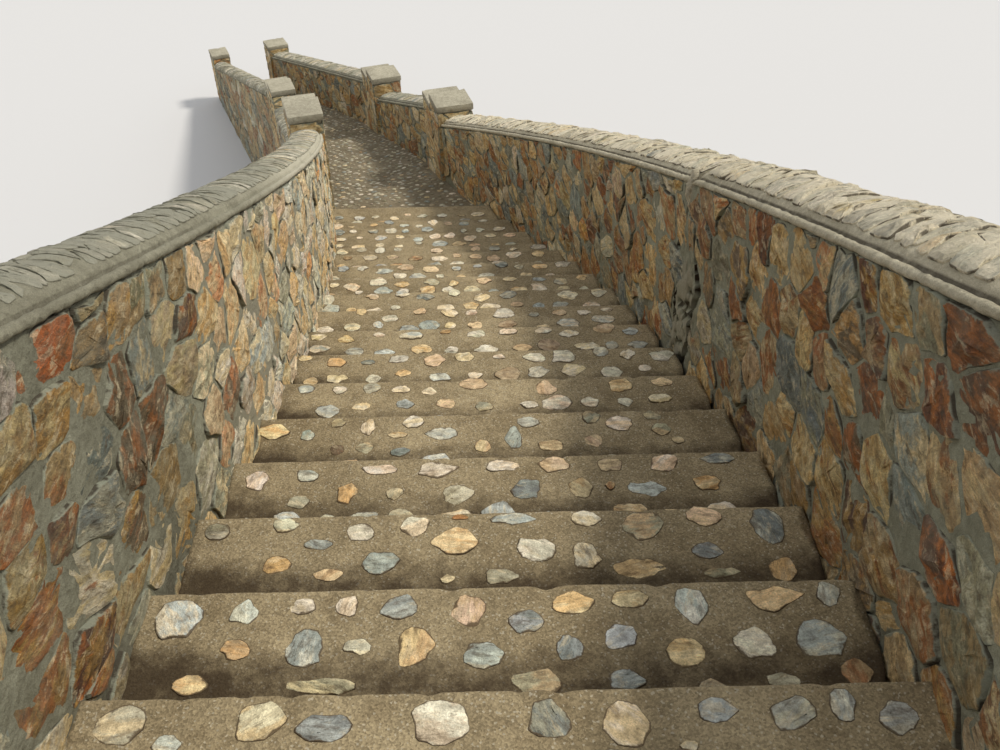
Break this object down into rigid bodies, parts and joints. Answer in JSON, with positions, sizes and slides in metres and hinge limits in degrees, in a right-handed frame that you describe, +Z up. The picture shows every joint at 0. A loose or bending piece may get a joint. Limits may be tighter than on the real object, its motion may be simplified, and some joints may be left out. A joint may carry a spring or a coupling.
{
  "type": "outdoor stone steps",
  "caption": "Outdoor flight of stone-set concrete steps bending gently left between rubble parapets with rounded copings, ending in a pebbled ramp between capped piers.",
  "frame": {"origin": "on the underside, straight below the middle of the landing's front edge", "axes": "+Y forward down the flight, +X to the right of someone walking down, +Z up"},
  "size_m": [5.5548, 16.1569, 6.4083],
  "materials": {
    "core": "rough rubble and lime mortar",
    "tread_concrete": "exposed-aggregate concrete set with flat stones, worn",
    "pebble_paving": "pebbles set in dark mortar",
    "cap_stone": "weathered cast slab",
    "coping_mortar": "weathered mortar set with flat stones",
    "rubble_wall": "random rubble in recessed mortar"
  },
  "bodies": {
    "root": {"stair_core": "core", "landing": "tread_concrete", "ramp": "pebble_paving", "tread_01": "tread_concrete", "tread_02": "tread_concrete", "tread_03": "tread_concrete", "tread_04": "tread_concrete", "tread_05": "tread_concrete", "tread_06": "tread_concrete", "tread_07": "tread_concrete", "tread_08": "tread_concrete", "tread_09": "tread_concrete", "tread_10": "tread_concrete", "tread_11": "tread_concrete", "tread_12": "tread_concrete", "tread_13": "tread_concrete", "tread_14": "tread_concrete", "tread_15": "tread_concrete", "tread_16": "tread_concrete", "tread_17": "tread_concrete", "left_wall": "rubble_wall", "right_wall": "rubble_wall", "left_coping": "coping_mortar", "right_coping_upper": "coping_mortar", "right_coping_lower": "coping_mortar", "left_ramp_wall_1": "rubble_wall", "left_ramp_wall_2": "rubble_wall", "right_ramp_wall_1": "rubble_wall", "right_ramp_wall_2": "rubble_wall", "ramp_copings_1": "coping_mortar", "ramp_copings_2": "coping_mortar", "top_left_pier": "rubble_wall", "top_right_pier": "rubble_wall", "foot_left_pier": "rubble_wall", "foot_right_pier": "rubble_wall", "middle_left_pier": "rubble_wall", "middle_right_pier": "rubble_wall", "end_left_pier": "rubble_wall", "end_right_pier": "rubble_wall", "top_pier_caps": "cap_stone", "foot_pier_caps": "cap_stone", "middle_pier_caps": "cap_stone", "end_pier_caps": "cap_stone"}
  },
  "joints": []
}
